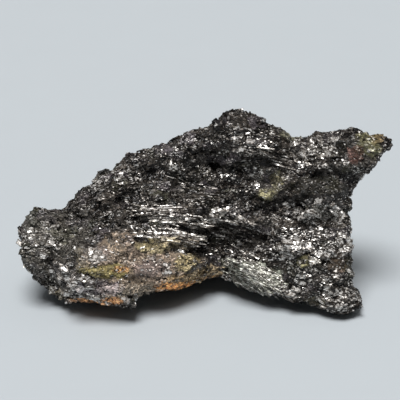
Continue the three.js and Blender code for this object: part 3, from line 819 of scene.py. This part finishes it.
def blades_piece(name, blades, rng, material, slant, stain_share, evenness):
    """One piece of many blades, each with its tone and its place's stain. The blades are arrays of
    their middles, the ways that they run and look, their sizes and their tones."""
    middle, along, out, size, tone = blades
    count = len(middle)
    corners = blade_corners(middle, along, out, size, rng, slant).reshape(-1, 3)
    corners[:, 2] = corners[:, 2].clip(0)
    faces = (BLADE_FACES[None] + 8 * np.arange(count)[:, None, None]).reshape(-1, 4)
    piece = mesh_from(name, corners, faces.tolist())
    mesh = piece.data
    colour, amount = stained(middle)
    clean = rng.random(count) < CLEAN_BLADES
    taken = np.where(clean, CLEAN_STAIN, rng.uniform(*STAIN_TAKEN, count))
    hidden = amount * stain_share * taken * kept_stain(out)
    face_values = {"tone": tone, "evenness": np.full(count, evenness), "stain": hidden.clip(0, 1)}
    for field, values in face_values.items():
        give_values(mesh, field, "FLOAT", "FACE", np.repeat(values, SIDES))
    colour = colour * rng.uniform(*STAIN_SHADES, (count, 1))
    give_values(mesh, "stain_colour", "FLOAT_COLOR", "POINT", np.repeat(colour, 8, axis=0))
    give_values(mesh, "spot", "FLOAT2", "CORNER", np.tile(FACE_SPOTS, (SIDES * count, 1)))
    cell_map(mesh, count)
    finish_piece(piece, material)


def laid_along(normals, direction, rng, stray, tilt):
    """For each place, the ways that its blade runs and its broad face looks: the direction laid
    into the surface, turned in it by a normal chance of `stray`, lifted at one end by one of
    `tilt`, and rolled by 1.3 times as much."""
    flat = direction - normals * (normals * direction).sum(axis=1, keepdims=True)
    along = unit(flat + 1e-6)
    along = turned(along, normals, rng.normal(0, stray, len(normals)))
    across = np.cross(normals, along)
    lift = rng.normal(0, tilt, len(normals))
    out = turned(normals, across, lift)
    along = turned(along, across, lift)
    return along, turned(out, along, rng.normal(0, tilt * 1.3, len(normals)))


def felt(name, count, size, sparks, settings, seed, material):
    """Blades over the whole rock. Those of one bundle lie nearly alike. Their places are chosen
    from twice as many, so that few are where the sprays lie."""
    rng = np.random.default_rng(seed)
    points, normals = surface_samples(count * 2, rng)
    kept = np.argsort(rng.random(len(points)) / open_rock(points))[:count]
    points, normals = points[kept], normals[kept]
    cells = bundles(points)
    lean = settings.lean * (chances(cells, LEAN_SEED) - 0.5)
    upwards = np.where(shining(points)[:, None], UP * settings.rise, 0.0)
    normals = unit(normals + lean + upwards)
    direction = unit(GRAIN + settings.swirl * (chances(cells, SWIRL_SEED) - 0.5))
    along, out = laid_along(normals, direction, rng, settings.stray, settings.tilt)
    drawn = np.array(size) * MM * rng.uniform(*SIZE_SPREAD, (count, 3))
    middle = points + normals * (drawn[:, 2:] * settings.proud)
    blades = (middle, along, out, drawn, tones_at(points, rng, sparks))
    blades_piece(name, blades, rng, material, *FELT_MAKE)


def surface_near(tree, share, spots, dip):
    """The skin behind a patch of a face: each spot, in metres along and across the blades, which
    run down to the right by `dip`, is carried straight through the face to the skin. Gives the
    places, the normals there and the way the blades run."""
    level, up, side = face_axes(share)
    run = level * math.cos(dip) - up * math.sin(dip)
    across = np.cross(side, run)
    starts = place_of(share) + spots @ np.stack([run, across]) + side * LINE_START
    hits = [tree.ray_cast(Vector(start), Vector(-side)) for start in starts]
    kept = [(tuple(hit[0]), tuple(hit[1])) for hit in hits if hit[0] is not None]
    if not kept:
        raise RuntimeError(f"no skin was found behind {share}")
    places, normals = (np.array(part) for part in zip(*kept))
    return places, normals, run


def laid_piece(name, places, seed, lay, make):
    """One piece of the blades that are laid at several places. They look out from their face and
    somewhat up, to the light, and follow the skin's slope a little."""
    crowded, slope, stray, tilt, spread, proud = lay
    rng = np.random.default_rng(seed)
    tree = BVHTree.FromObject(bpy.data.objects[SKIN], bpy.context.evaluated_depsgraph_get())
    parts = []
    for share, reach, dip, count, size, tones in places:
        shape = (count, 2)
        spots = rng.normal(0, 0.5, shape) if crowded else rng.uniform(-1, 1, shape)
        points, normals, run = surface_near(tree, share, spots * np.array(reach) * MM, dip)
        normals = unit(slope * normals + unit(face_axes(share)[2] + UP * LIGHT_RISE))
        along, out = laid_along(normals, run, rng, stray, tilt)
        drawn = np.array(size) * MM * rng.uniform(*spread, (len(points), 3))
        tone = rng.uniform(*tones, len(points))
        parts.append((points + normals * drawn[:, 2:] * proud, along, out, drawn, tone))
    blades = [np.concatenate(part) for part in zip(*parts)]
    blades_piece(name, blades, rng, bpy.data.materials[CLEAVAGE], *make)


# ---- stage


def make_floor(settings):
    """A round floor whose outer part curves up as a low backdrop: rings of corners whose radius
    grows evenly, raised by the square of the way past where the curve starts."""
    share = np.linspace(0.0, 1.0, RINGS + 1)[1:, None]
    angle = np.linspace(0.0, 2 * math.pi, SPOKES, endpoint=False)[None]
    radius = settings.floor_radius * share
    past = ((share - settings.curve_start) / (1 - settings.curve_start)).clip(0)
    z = settings.backdrop_height * past**2 + 0 * angle
    rings = np.stack([radius * np.cos(angle), radius * np.sin(angle), z], axis=-1)
    corners = np.concatenate([rings.reshape(-1, 3), np.zeros((1, 3))])
    place = np.arange(RINGS * SPOKES).reshape(RINGS, SPOKES)
    after = np.roll(place, -1, axis=1)
    quads = np.stack([place[:-1], place[1:], after[1:], after[:-1]], axis=-1).reshape(-1, 4)
    hub = np.stack([np.full(SPOKES, place.size), place[0], after[0]], axis=-1)
    floor = mesh_from("floor", corners, quads.tolist() + hub.tolist())
    floor.data.shade_smooth()
    floor.data.materials.append(board_material(tuple(settings.floor_colour)))


def make_sun(name, way, width, strength):
    """A soft light from far away, as wide in the sky as an angle."""
    lamp = bpy.data.lights.new(name, "SUN")
    lamp.angle = width
    lamp.energy = strength
    placed(name, lamp).rotation_euler = Vector(way).to_track_quat("Z", "Y").to_euler()


def make_lights(settings):
    """A soft light over the display face, a broad one overhead, and an even pale room."""
    make_sun("key", KEY_FROM, KEY_WIDTH, settings.key_strength)
    make_sun("fill", FILL_FROM, FILL_WIDTH, settings.fill_strength)
    world = bpy.data.worlds.new("room")
    world.use_nodes = True
    background = world.node_tree.nodes["Background"]
    background.inputs["Color"].default_value = linear(ROOM_COLOUR)
    background.inputs["Strength"].default_value = settings.room_light
    bpy.context.scene.world = world


def make_camera(settings):
    """A long lens that looks at the display face square on. Tones are shown as they are."""
    lens = bpy.data.cameras.new("camera")
    lens.sensor_width = SENSOR_WIDTH
    lens.lens = settings.camera_lens
    lens.clip_start = 10 * MM
    camera = placed("camera", lens)
    aim = Vector((CAD_LOW + CAD_HIGH) / 2) + AIM_SHIFT
    back = Vector((0.0, -math.cos(LEAN), math.sin(LEAN)))
    camera.location = aim + settings.camera_distance * back
    camera.rotation_euler = (math.pi / 2 - LEAN, 0.0, 0.0)
    bpy.context.scene.camera = camera
    bpy.context.scene.view_settings.view_transform = "Standard"


# ---- operators


def number(name, description, default, **more):
    """A property that holds a number."""
    return FloatProperty(name=name, description=description, default=default, **more)


class SpecimenSettings(bpy.types.PropertyGroup):
    """The rock's skin and its common blades."""

    skin_square: number(
        "Skin square",
        "Width of the skin's small squares",
        0.42 * MM,
        min=0.3 * MM,
        unit="LENGTH",
        precision=5,
    )
    stray: number("Stray", "How far a blade turns in the skin", math.radians(14), subtype="ANGLE")
    tilt: number("Tilt", "How far a blade's end lifts", math.radians(7), subtype="ANGLE")
    lean: number("Lean", "How far a whole bundle leans from the skin, as a slope", 0.34)
    rise: number("Rise", "How far a bright bundle turns to the light above, as a slope", 0.3)
    swirl: number("Swirl", "How far a whole bundle turns from the grain, as a slope", 1.3)
    proud: number("Proud", "Height of a blade's middle over the skin, in thicknesses", -0.28)


class StageSettings(bpy.types.PropertyGroup):
    """The floor, the lights and the camera."""

    floor_radius: number("Floor radius", "Radius of the round floor", 3.0, unit="LENGTH")
    curve_start: number("Curve start", "Share of the radius where the floor turns up", 0.5)
    backdrop_height: number("Backdrop height", "How high the floor's rim is", 0.35, unit="LENGTH")
    floor_colour: FloatVectorProperty(
        name="Floor colour",
        description="Colour of the floor's paint",
        default=linear(0xBFC5C9)[:3],
        subtype="COLOR",
        size=3,
    )
    key_strength: number("Key", "Strength of the soft light over the display face", 3.3)
    fill_strength: number("Fill", "Strength of the broad light overhead", 0.45)
    room_light: number("Room light", "Strength of the light from all round", 0.05)
    camera_distance: number("Camera distance", "From the camera to its aim", 0.4, unit="LENGTH")
    camera_lens: number("Lens", "Focal length", 144.0, unit="CAMERA")


class SPECIMEN_OT_rock_skin(bpy.types.Operator):
    """Grows the rock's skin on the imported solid."""

    bl_idname = "specimen.rock_skin"
    bl_label = "Rock Skin"

    def execute(self, context):
        piece = grown_skin(context.scene.specimen)
        mesh = piece.data
        colour, amount = stained(corners_of(mesh))
        give_values(mesh, "stain", "FLOAT", "POINT", amount * kept_stain(normals_of(mesh)))
        give_values(mesh, "stain_colour", "FLOAT_COLOR", "POINT", colour)
        box_map(mesh)
        finish_piece(piece, skin_material())
        return {"FINISHED"}


class SPECIMEN_OT_felt(bpy.types.Operator):
    """Sets the coarse, the middle and the fine blades into the skin."""

    bl_idname = "specimen.felt"
    bl_label = "Felt of Blades"

    def execute(self, context):
        material = cleavage_material()
        for seed, (name, count, size, sparks) in enumerate(FELTS, FELT_SEED):
            felt(name, count, size, sparks, context.scene.specimen, seed, material)
        return {"FINISHED"}


class SPECIMEN_OT_sprays(bpy.types.Operator):
    """Lays the bundles of long thin blades."""

    bl_idname = "specimen.sprays"
    bl_label = "Silver Sprays"

    def execute(self, context):
        places = [
            (share, reach, math.radians(dip), count, (*size, size[1] * SPRAY_THICKNESS), tones)
            for _, share, reach, dip, count, size, tones in SPRAYS
        ]
        laid_piece("silver_sprays", places, SPRAY_SEED, SPRAY_LAY, SPRAY_MAKE)
        return {"FINISHED"}


class SPECIMEN_OT_crystals(bpy.types.Operator):
    """Sets the large clean crystals that catch the light singly."""

    bl_idname = "specimen.crystals"
    bl_label = "Bright Crystals"

    def execute(self, context):
        places = [
            (share, reach, DIP, count, CRYSTAL_SHAPE * length, CRYSTAL_TONES)
            for _, share, reach, count, length in CRYSTALS
        ]
        laid_piece("bright_crystals", places, CRYSTAL_SEED, CRYSTAL_LAY, CRYSTAL_MAKE)
        return {"FINISHED"}


class SPECIMEN_OT_stage(bpy.types.Operator):
    """Makes the floor, the light and the camera."""

    bl_idname = "specimen.stage"
    bl_label = "Stage"

    def execute(self, context):
        settings = context.scene.specimen_stage
        make_floor(settings)
        make_lights(settings)
        make_camera(settings)
        return {"FINISHED"}


STEPS = (
    SPECIMEN_OT_rock_skin,
    SPECIMEN_OT_felt,
    SPECIMEN_OT_sprays,
    SPECIMEN_OT_crystals,
    SPECIMEN_OT_stage,
)


class SPECIMEN_PT_panel(bpy.types.Panel):
    """Lists the steps and the settings in the sidebar."""

    bl_label = "Nuummite Specimen"
    bl_idname = "SPECIMEN_PT_panel"
    bl_space_type = "VIEW_3D"
    bl_region_type = "UI"
    bl_category = "Specimen"

    def draw(self, context):
        for step in STEPS:
            self.layout.operator(step.bl_idname)
        for settings in (context.scene.specimen, context.scene.specimen_stage):
            for name in settings.bl_rna.properties.keys():
                if name not in ("rna_type", "name"):
                    self.layout.prop(settings, name)


CLASSES = (SpecimenSettings, StageSettings, *STEPS, SPECIMEN_PT_panel)


def register():
    """Makes the settings, the steps and the panel known to Blender."""
    for item in CLASSES:
        bpy.utils.register_class(item)
    bpy.types.Scene.specimen = PointerProperty(type=SpecimenSettings)
    bpy.types.Scene.specimen_stage = PointerProperty(type=StageSettings)


def unregister():
    """Takes them out again."""
    del bpy.types.Scene.specimen_stage
    del bpy.types.Scene.specimen
    for item in reversed(CLASSES):
        bpy.utils.unregister_class(item)


def main():
    """Runs the steps in order."""
    register()
    for step in STEPS:
        group, name = step.bl_idname.split(".")
        getattr(getattr(bpy.ops, group), name)()


if __name__ == "__main__":
    main()
